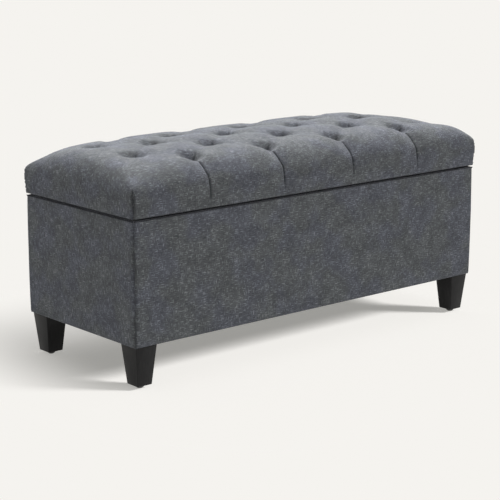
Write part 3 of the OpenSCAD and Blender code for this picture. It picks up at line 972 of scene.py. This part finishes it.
@dataclass
class LidUpholstery:
    """The lid's tufted cover, the foam under it and the lining under the board."""

    finishes: Finishes
    tufting: Tufting = field(default_factory=Tufting)
    cell: float = 8.2 * MM
    hem: float = 25 * MM
    cloth: float = 1.4 * MM
    seam: float = 0.8 * MM
    seam_top: tuple[float, float] = (0.450, 0.470)
    crease: float = 3.4 * MM
    thread: float = 0.8 * MM
    thread_end: float = 7 * MM
    frames: int = 16
    most_move: float = 7 * MM

    def build(self) -> None:
        """Makes and dresses every soft piece of the lid."""
        self.build_cover()
        self.build_foam()
        self.build_lining()
        self.build_twine()

    def cells(self, span: Span, cell: float) -> tuple[int, int, int]:
        """Returns how many cells of a size fit each side of a span, always even."""
        return tuple(2 * max(1, round(side / cell / 2)) for side in span.size)

    def form(self, form: PadForm, cell: float) -> bmesh.types.BMesh:
        """Returns a pad with its tufts drawn in but no sharp folds.

        Args:
            form: The pad's form.
            cell: The size of its cells.

        Returns:
            The closed pad.
        """
        bm = box_grid(form.span, self.cells(form.span, cell))
        lay_cloth(bm, form.span)
        put(bm, form.shape(places(bm)))
        base = places(bm)
        away = outward(bm)
        depth = self.tufting.sink(base, form) - form.side_bulge(base)
        above = smooth(base[:, 2], form.span.low.z, form.span.low.z + 14 * MM)
        put(bm, base - away * (depth * above)[:, None])
        return bm

    def settle(self, bm: bmesh.types.BMesh, form: PadForm) -> None:
        """Lets the cover stretch between its tufts as cloth blown up from inside.

        Args:
            bm: The cover, which is changed.
            form: The form that it lies on.
        """
        piece = piece_from(bm.copy(), "cover_while_it_settles", self.finishes.linen)
        before = places(bm)
        held = piece.vertex_groups.new(name="held")
        tufts = np.array(self.tufting.tufts())
        gap = np.min(np.linalg.norm(before[:, None, :2] - tufts[None], axis=2), axis=1)
        low = 1 - smooth(before[:, 2], form.span.low.z + 18 * MM, form.span.low.z + 60 * MM)
        pull = np.maximum(1 - smooth(gap, 5 * MM, 13 * MM), low)
        for index, weight in enumerate(pull):
            if weight > 0.01:
                held.add([index], float(weight), "REPLACE")
        modifier = piece.modifiers.new("settle", "CLOTH")
        cloth = modifier.settings
        cloth.vertex_group_mass = "held"
        cloth.quality = 6
        cloth.mass = 0.35
        cloth.tension_stiffness = cloth.compression_stiffness = 22
        cloth.shear_stiffness = 8
        cloth.bending_stiffness = 1.2
        cloth.use_pressure = True
        cloth.uniform_pressure_force = 3.0
        cloth.effector_weights.gravity = 0.0
        modifier.collision_settings.use_collision = False
        scene = bpy.context.scene
        scene.frame_start, scene.frame_end = 1, self.frames
        modifier.point_cache.frame_start, modifier.point_cache.frame_end = 1, self.frames
        for frame in range(1, self.frames + 1):
            scene.frame_set(frame)
        settled = piece.evaluated_get(bpy.context.evaluated_depsgraph_get())
        after = np.array([v.co[:] for v in settled.data.vertices], float)
        move = after - before
        length = np.maximum(np.linalg.norm(move, axis=1), 1e-9)
        move *= (self.most_move * np.tanh(length / self.most_move) / length)[:, None]
        LOG.info("cover settled by %.1f mm at most", 1000 * np.linalg.norm(move, axis=1).max())
        scene.frame_set(1)
        mesh = piece.data
        bpy.data.objects.remove(piece)
        bpy.data.meshes.remove(mesh)
        put(bm, before + move)

    def cut_folds(self, bm: bmesh.types.BMesh) -> None:
        """Adds edges along each line of folds and pleats, and close to either side of it."""
        lines = set()
        for a, b in self.tufting.links():
            along = (b - a) / np.linalg.norm(b - a)
            normal = (round(-along[1], 5), round(along[0], 5))
            if normal[0] < 0:
                normal = (-normal[0], -normal[1])
            lines.add((normal, round(float(np.dot(normal, a)), 4)))
        for x in {round(x, 5) for x, _ in self.tufting.edge_tufts()}:
            lines.add(((1.0, 0.0), x))
        for normal, offset in sorted(lines):
            for beside in (-2.6 * MM, 0.0, 2.6 * MM):
                point = [n * (offset + beside) for n in normal]
                cut(bm, (*point, 0.0), (*normal, 0.0))

    def build_cover(self) -> None:
        """Makes the sewn cover: one closed skin over the pad, turned under the board."""
        form = PadForm(Span.of("lid_cover"))
        span = form.span
        bm = self.form(form, self.cell)
        self.settle(bm, form)
        half = span.size / 2
        cut_upright(bm, [[half[axis] - inset for inset in (self.hem, *BY_CORNER)] for axis in (0, 1)])
        floor = span.low.z + 0.5 * MM
        inner = half - Vector((self.hem, self.hem, 0))
        keep_faces(bm, lambda c: c.z > floor or abs(c.x) > inner.x or abs(c.y) > inner.y)
        bmesh.ops.subdivide_edges(bm, edges=bm.edges[:], cuts=1, smooth=0.6, use_grid_fill=True)
        for lift in (1.2 * MM, 2.6 * MM, 5 * MM):
            cut(bm, (0, 0, span.low.z + lift), (0, 0, 1))
        self.cut_folds(bm)
        crowded = [f for f in bm.faces if len(f.verts) > 4]
        bmesh.ops.triangulate(bm, faces=crowded, quad_method="BEAUTY", ngon_method="BEAUTY")
        where = round_foot(places(bm), half[:2], span.low.z, 4 * MM)
        put(bm, where)
        away = outward(bm)
        sharp = self.tufting.fold(where, span.high.z)
        sharp *= smooth(where[:, 2], span.low.z + 4 * MM, span.low.z + 30 * MM)
        seam = corner_seam(where, half, 3.36 * MM, 0.22 * MM) * (1 - smooth(where[:, 2], *self.seam_top))
        cloth = ripple(where, 46 * MM, 3.1) * 0.5 * MM + ripple(where, 17 * MM, 7.7) * 0.18 * MM
        calm = smooth(where[:, 2], span.low.z + 2 * MM, span.low.z + 20 * MM)
        put(bm, where + away * (cloth * calm - sharp * self.crease - seam * self.seam)[:, None])
        # painted shade: the folds' creases, the corner seams and the edge under the lid, at the dark gap
        # over the box, are darkened through this attribute
        layer = bm.verts.layers.float.new(PAINTED_SHADE)
        inset = np.min(np.array(half[:2]) - np.abs(where[:, :2]), axis=1)
        under = 1 - smooth(where[:, 2], span.low.z + 0.6 * MM, span.low.z + 2.6 * MM)
        under *= 1 - smooth(inset, 3 * MM, 6 * MM)
        for vert, shade in zip(bm.verts, np.clip(sharp + 0.6 * seam + under, 0, 1)):
            vert[layer] = shade
        piece = piece_from(bm, "lid_upholstery", self.finishes.linen)
        thicken(piece, self.cloth)
        stand_for(piece, "lid", "lid_cover")

    def build_foam(self) -> None:
        """Makes the foam block, drawn down under each tuft."""
        board = Span.of("lid_board")
        cover = Span.of("lid_cover").within(4.2 * MM, 0, 4.2 * MM)
        low = Vector((cover.low.x, cover.low.y, board.high.z + 0.2 * MM))
        form = PadForm(Span(low, cover.high), roll=53 * MM, corner=5 * MM, bulge=1.6 * MM)
        bm = self.form(form, 12 * MM)
        where = places(bm)
        pressed = smooth(self.tufting.sink(where, form), 3 * MM, 9 * MM) * 6 * MM
        put(bm, where + outward(bm) * (ripple(where, 30 * MM, 1.3) * 0.4 * MM - pressed)[:, None])
        piece = piece_from(bm, "lid_foam_pad", self.finishes.foam)
        stand_for(piece, "lid", "lid_foam")

    def build_twine(self) -> None:
        """Makes the threads, each from its washer up to just under its bowl."""
        form = PadForm(Span.of("lid_cover"))
        low = Span.of("tuft_twine").low.z
        bm = bmesh.new()
        for x, y in self.tufting.tufts():
            crown = form.crown - math.sqrt(form.crown**2 - y**2)
            high = form.span.high.z - crown - self.tufting.depth - self.thread_end
            bmesh.ops.create_cone(
                bm,
                cap_ends=True,
                segments=12,
                radius1=self.thread,
                radius2=self.thread,
                depth=high - low,
                matrix=Matrix.Translation((x, y, (low + high) / 2)),
            )
        piece = piece_from(bm, "tufting_thread", self.finishes.by_slot["twine"])
        stand_for(piece, "lid", "tuft_twine")

    def build_lining(self) -> None:
        """Makes the cloth under the board, stapled round its edge."""
        span = Span.of("lid_lining")
        sheet = StapledSheet(span, self.finishes.lining, droop=-0.25 * MM)
        sheet.build("lid_lining_cloth", "lid", "lid_lining", "lining", "lid_board")


@dataclass
class StapledSheet:
    """A thin cloth stretched flat under a frame, with small puckers at its edge."""

    span: Span
    material: bpy.types.Material
    droop: float = 0.0
    cell: float = 13 * MM
    thickness: float = 0.8 * MM

    def build(self, name: str, body: str, node: str, finish: str, rests_on: str) -> None:
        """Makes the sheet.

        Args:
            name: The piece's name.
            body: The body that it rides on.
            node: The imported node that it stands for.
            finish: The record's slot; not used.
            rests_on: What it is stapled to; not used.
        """
        size = self.span.size
        bm = bmesh.new()
        counts = [max(2, round(side / self.cell)) for side in size[:2]]
        level = Vector((self.span.middle.x, self.span.middle.y, self.span.high.z))
        place = Matrix.Translation(level) @ Matrix.Diagonal((size.x, size.y, 1, 1))
        bmesh.ops.create_grid(bm, x_segments=counts[0], y_segments=counts[1], size=0.5, matrix=place)
        layer = bm.loops.layers.uv.new(CLOTH_MAP)
        for face in bm.faces:
            for loop in face.loops:
                loop[layer].uv = loop.vert.co.xy
        where = places(bm)
        margin = np.minimum(
            size.x / 2 - np.abs(where[:, 0] - self.span.middle.x),
            size.y / 2 - np.abs(where[:, 1] - self.span.middle.y),
        )
        inside = smooth(margin, 0.0, 60 * MM)
        pucker = (1 - smooth(margin, 4 * MM, 34 * MM)) * 0.18 * MM
        wave = np.sin((where[:, 0] + where[:, 1]) * math.tau / (38 * MM))
        where[:, 2] += self.droop * inside + pucker * (wave - 1) + ripple(where, 90 * MM, 5.0) * 0.1 * MM
        put(bm, where)
        piece = piece_from(bm, name, self.material)
        thicken(piece, self.thickness)
        stand_for(piece, body, node)


# ---------------------------------------------------------------- box


@dataclass
class BoxUpholstery:
    """The box's cover, the wadding under it, its storage lining and its dust cover."""

    finishes: Finishes
    cell: float = 11 * MM
    corner: float = 8 * MM
    foot: float = 5 * MM
    hem: float = 25 * MM
    cloth: float = 1.4 * MM
    puff: float = 1.6 * MM
    seam: float = 1.5 * MM
    turn_down: float = 21.5 * MM

    def build(self) -> None:
        """Makes and dresses every soft piece of the box."""
        self.build_cover()
        self.build_wadding()
        self.build_lining()
        sheet = StapledSheet(Span.of("dust_cover"), self.finishes.dust, droop=-0.7 * MM)
        sheet.build("dust_cover_cloth", "base", "dust_cover", "dust_cloth", "front_panel")

    def skin(self, span: Span, cell: float) -> bmesh.types.BMesh:
        """Returns a box with rounded corners and edges, before it is opened.

        Args:
            span: The box.
            cell: The size of its cells.

        Returns:
            The closed box.
        """
        counts = [2 * max(1, round(side / cell / 2)) for side in span.size]
        bm = box_grid(span, counts)
        half = span.size / 2
        cut_upright(bm, [[half[axis] - inset for inset in BY_CORNER] for axis in (0, 1)])
        for level in (span.low.z + 1.2 * MM, span.low.z + 3 * MM, span.low.z + 6 * MM):
            cut(bm, (0, 0, level), (0, 0, 1))
        for level in (span.high.z - 1.2 * MM, span.high.z - 3 * MM):
            cut(bm, (0, 0, level), (0, 0, 1))
        return bm

    def build_cover(self) -> None:
        """Makes the sewn sleeve, turned under at its foot and down inside its rim."""
        span = Span.of("box_cover")
        half = span.size / 2
        bm = self.skin(span, self.cell)
        lay_cloth(bm, span)
        lining = Span.of("storage_lining")
        opening = Vector((lining.size.x / 2 - self.cloth, lining.size.y / 2 - self.cloth, 0))
        hem = half - Vector((self.hem, self.hem, 0))
        cut_upright(bm, [(opening[axis], hem[axis]) for axis in (0, 1)])
        keep_faces(bm, lambda c: not self.is_open(c, span, opening, hem))
        self.turn_rim(bm, span, opening)
        where = places(bm)
        outer = (np.abs(where[:, 0]) > half[0] - 12 * MM) | (np.abs(where[:, 1]) > half[1] - 12 * MM)
        shaped = round_foot(round_plan(where, half[:2], self.corner), half[:2], span.low.z, self.foot)
        shaped[:, 2] = np.where(outer, self.soft_rim(where, shaped, half, span), shaped[:, 2])
        put(bm, shaped)
        away = outward(bm)
        side = np.hypot(away[:, 0], away[:, 1]) * outer
        level = np.clip((shaped[:, 2] - span.low.z) / span.size.z, 0, 1)
        swell = np.sin(np.pi * level) ** 0.6 * self.puff
        waves = ripple(shaped, 120 * MM, 9.2) * 0.7 * MM + ripple(shaped, 40 * MM, 2.4) * 0.25 * MM
        seam = corner_seam(shaped, half, 3.4 * MM, 0.4 * MM)
        out = swell + waves * np.sin(np.pi * level) - seam * self.seam
        put(bm, shaped + away * (side * out)[:, None])
        # painted shade: the rim's top, in the gap under the lid, and the corner seams are darkened through
        # this attribute
        rim = smooth(shaped[:, 2], span.high.z - 2.4 * MM, span.high.z - 0.8 * MM)
        layer = bm.verts.layers.float.new(PAINTED_SHADE)
        for vert, shade in zip(bm.verts, np.clip(0.2 * seam + rim, 0, 1)):
            vert[layer] = shade
        piece = piece_from(bm, "box_upholstery", self.finishes.linen)
        thicken(piece, self.cloth)
        stand_for(piece, "base", "box_cover")

    def soft_rim(
        self, where: np.ndarray, shaped: np.ndarray, half: Vector, span: Span, radius: float = 3 * MM
    ) -> np.ndarray:
        """Returns the level of each place once the rim's outer edge is rounded."""
        edge = np.minimum(half[0] - np.abs(where[:, 0]), half[1] - np.abs(where[:, 1]))
        over = np.clip(radius - edge, 0, radius)
        drop = radius - np.sqrt(np.maximum(radius**2 - over**2, 0))
        near = where[:, 2] > span.high.z - 0.5 * MM
        return np.where(near, shaped[:, 2] - drop * 0.8, shaped[:, 2])

    def is_open(self, centre: Vector, span: Span, opening: Vector, hem: Vector) -> bool:
        """Tells whether a face lies in the box's mouth or inside the hem under it."""
        in_mouth = abs(centre.x) < opening.x and abs(centre.y) < opening.y
        in_hem = abs(centre.x) < hem.x and abs(centre.y) < hem.y
        at_top = centre.z > span.high.z - 0.5 * MM
        at_foot = centre.z < span.low.z + 0.5 * MM
        return (at_top and in_mouth) or (at_foot and in_hem)

    def turn_rim(self, bm: bmesh.types.BMesh, span: Span, opening: Vector) -> None:
        """Turns the cover down inside the box's mouth."""
        rim = [
            e
            for e in bm.edges
            if e.is_boundary and all(v.co.z > span.high.z - 0.5 * MM for v in e.verts)
        ]
        made = bmesh.ops.extrude_edge_only(bm, edges=rim)
        fresh = [v for v in made["geom"] if isinstance(v, bmesh.types.BMVert)]
        bmesh.ops.translate(bm, verts=fresh, vec=(0, 0, -self.turn_down))
        bmesh.ops.recalc_face_normals(bm, faces=bm.faces[:])
        layer = bm.loops.layers.uv[CLOTH_MAP]
        lowest = span.high.z - self.turn_down
        for face in bm.faces:
            if all(abs(v.co.x) < opening.x + MM and abs(v.co.y) < opening.y + MM for v in face.verts):
                for loop in face.loops:
                    if abs(loop.vert.co.z - lowest) < MM:
                        x, y = loop.vert.co.xy
                        if abs(face.normal.x) > 0.5:
                            x -= math.copysign(self.turn_down, x)
                        else:
                            y -= math.copysign(self.turn_down, y)
                        loop[layer].uv = (x, y)

    def build_wadding(self) -> None:
        """Makes the soft sleeve between the panels and the cover."""
        span = Span.of("box_wadding")
        bm = self.skin(span, 24 * MM)
        lay_cloth(bm, span)
        half = span.size / 2
        keep_faces(bm, lambda c: span.low.z + 0.5 * MM < c.z < span.high.z - 0.5 * MM)
        shaped = round_plan(places(bm), half[:2], self.corner - 1.5 * MM)
        put(bm, shaped)
        put(bm, shaped + outward(bm) * (ripple(shaped, 25 * MM, 4.4) * 0.35 * MM - 0.4 * MM)[:, None])
        piece = piece_from(bm, "box_wadding_sleeve", self.finishes.wadding)
        thicken(piece, 4 * MM)
        stand_for(piece, "base", "box_wadding")

    def build_lining(self) -> None:
        """Makes the black cloth bag that lines the storage."""
        span = Span.of("storage_lining").within(0.1 * MM, 0.1 * MM)
        bm = box_grid(span, [2 * round(side / (30 * MM) / 2) for side in span.size])
        lay_cloth(bm, span)
        keep_faces(bm, lambda c: c.z < span.high.z - 0.5 * MM)
        where = places(bm)
        middle = span.middle
        half = span.size / 2
        inset = [half[axis] - np.abs(where[:, axis] - middle[axis]) for axis in (0, 1)]
        away = np.minimum(*inset)
        floor = where[:, 2] < span.low.z + MM
        slack = ripple(where, 110 * MM, 6.1) * 0.35 * MM
        where[:, 2] += np.where(floor, np.abs(slack) * smooth(away, 0, 40 * MM), 0)
        put(bm, where)
        piece = piece_from(bm, "storage_lining_bag", self.finishes.lining)
        thicken(piece, 0.9 * MM)
        stand_for(piece, "base", "storage_lining")
        wall = 2 * (span.size.x + span.size.y) * span.size.z
        width, length = span.size.x + 2 * span.size.z, span.size.y + 2 * span.size.z
        area = wall + span.size.x * span.size.y


# ---------------------------------------------------------------- legs


@dataclass
class Legs:
    """Four square tapered legs with softened edges."""

    finishes: Finishes
    foot: float = 40 * MM
    edge: float = 1.8 * MM

    def build(self) -> None:
        """Makes and dresses the legs."""
        for name in ("front_left_leg", "front_right_leg", "back_left_leg", "back_right_leg"):
            self.build_leg(name)

    def build_leg(self, node: str) -> None:
        """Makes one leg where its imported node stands."""
        span = Span.of(node)
        bm = bmesh.new()
        place = Matrix.Translation(span.middle) @ Matrix.Rotation(math.pi / 4, 4, "Z")
        bmesh.ops.create_cone(
            bm,
            cap_ends=True,
            segments=4,
            radius1=self.foot / math.sqrt(2),
            radius2=span.size.x / math.sqrt(2),
            depth=span.size.z,
            matrix=place,
        )
        bmesh.ops.bevel(
            bm,
            geom=bm.edges[:],
            offset=self.edge,
            offset_type="OFFSET",
            affect="EDGES",
            segments=3,
            profile=0.5,
            material=-1,
        )
        piece = piece_from(bm, f"{node}_turned_out", self.finishes.lacquer)
        piece.data.set_sharp_from_angle(angle=math.radians(35))
        stand_for(piece, "base", node)


# ---------------------------------------------------------------- studio


@dataclass(frozen=True)
class Studio:
    """A pale floor that glows as painted light, soft light and the camera."""

    camera_place: tuple[float, float, float] = (-2.4875, -2.8619, 1.0684)
    yaw: float = 40.61
    pitch: float = -12.845
    sensor: float = 36.0
    lens: float = 111.636
    shift: tuple[float, float] = (-0.0005, 0.0044)
    backdrop: Colour = (0.913, 0.896, 0.863, 1.0)
    paper: Colour = (0.90, 0.88, 0.853, 1.0)
    glow: Colour = (0.29, 0.287, 0.273, 1.0)
    room: float = 0.12
    key: float = 3.95
    above: float = 10.1
    dome: float = 1.2
    left: float = 2.3

    def build(self) -> None:
        """Sets up the floor, the lights and the camera."""
        self.build_camera()
        self.build_lights(self.build_floor())

    def build_camera(self) -> None:
        """Places the camera at the viewing height of someone who stands back from the bench."""
        data = bpy.data.cameras.new("camera")
        data.sensor_width = self.sensor
        data.lens = self.lens
        data.clip_end = 200.0
        data.shift_x, data.shift_y = self.shift
        camera = bpy.data.objects.new("camera", data)
        camera.location = self.camera_place
        turn = (math.radians(90 + self.pitch), 0.0, math.radians(-self.yaw))
        camera.rotation_euler = turn
        bpy.context.scene.collection.objects.link(camera)
        bpy.context.scene.camera = camera

    def build_floor(self) -> bpy.types.Object:
        """Lays the floor, which glows as painted light so that shadows on it stay pale, and away from the
        bench glows in the backdrop's colour so that shadows fade out there.
        """
        bm = bmesh.new()
        bmesh.ops.create_grid(bm, x_segments=2, y_segments=2, size=60.0)
        shade = Shade("paper_floor")
        x, y, _ = shade.parts(shade.place())
        # painted light: with distance from the bench the floor's lit paper gives way to a glow of the
        # backdrop's colour, so that cast shadows fade out
        beyond = (abs(x) - 0.45).larger(0.0) * 2.0
        away = ((beyond * beyond + y * y) ** 0.5).step(0.04, 0.72)
        material = shade.finish(
            Base_Color=shade.blend(away, self.paper, (0.0, 0.0, 0.0, 1.0)),
            Roughness=0.9,
            Specular_IOR_Level=0.0,
            Emission_Color=shade.blend(away, self.glow, self.backdrop),
            Emission_Strength=1.0,
        )
        floor = piece_from(bm, "floor", material)
        return floor

    def sun(
        self, name: str, towards: Sequence[float], strength: float, spread: float, spared: Any = None
    ) -> None:
        """Adds a wide, even light.

        Args:
            name: Its name.
            towards: From the bench towards the light.
            strength: How strong it is.
            spread: How wide it looks, in degrees.
            spared: A piece that it doesn't light.
        """
        data = bpy.data.lights.new(name, "SUN")
        data.energy = strength
        data.angle = math.radians(spread)
        light = bpy.data.objects.new(name, data)
        light.rotation_euler = Vector(towards).to_track_quat("Z", "Y").to_euler()
        bpy.context.scene.collection.objects.link(light)
        if spared is not None:
            lit = bpy.data.collections.new(f"{name}_lights")
            lit.objects.link(spared)
            lit.collection_objects[0].light_linking.link_state = "EXCLUDE"
            light.light_linking.receiver_collection = lit

    def build_lights(self, floor: bpy.types.Object) -> None:
        """Sets up the lights: a low one from the right, which casts the shadow, and soft ones.

        Args:
            floor: The floor, which only the low light and the room reach.
        """
        scene = bpy.context.scene
        scene.view_settings.view_transform = "Standard"
        world = bpy.data.worlds.new("studio")
        world.use_nodes = True
        room = world.node_tree.nodes["Background"].inputs
        room["Color"].default_value = (1.0, 0.99, 0.975, 1.0)
        room["Strength"].default_value = self.room
        scene.world = world
        self.sun("key", (0.66, -0.75, 0.51), self.key, 13.0)
        self.sun("above", (0.38, 0.6, 1.0), self.above, 60.0, floor)
        self.sun("dome", (0.0, -0.2, 1.0), self.dome, 175.0, floor)
        self.sun("left", (-1.0, 0.1, 0.35), self.left, 70.0, floor)


def main() -> None:
    """Builds every piece of the bench and its studio."""
    logging.basicConfig(level=logging.INFO, format="%(message)s")
    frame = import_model()
    finishes = Finishes()
    finishes.dress(frame["nodes"], frame["record"])
    LOG.info("dressed %d packed nodes", len(frame["nodes"]))
    for maker in (LidUpholstery(finishes), BoxUpholstery(finishes), Legs(finishes), Studio()):
        maker.build()
        LOG.info("built %s", type(maker).__name__)


if __name__ == "__main__":
    main()
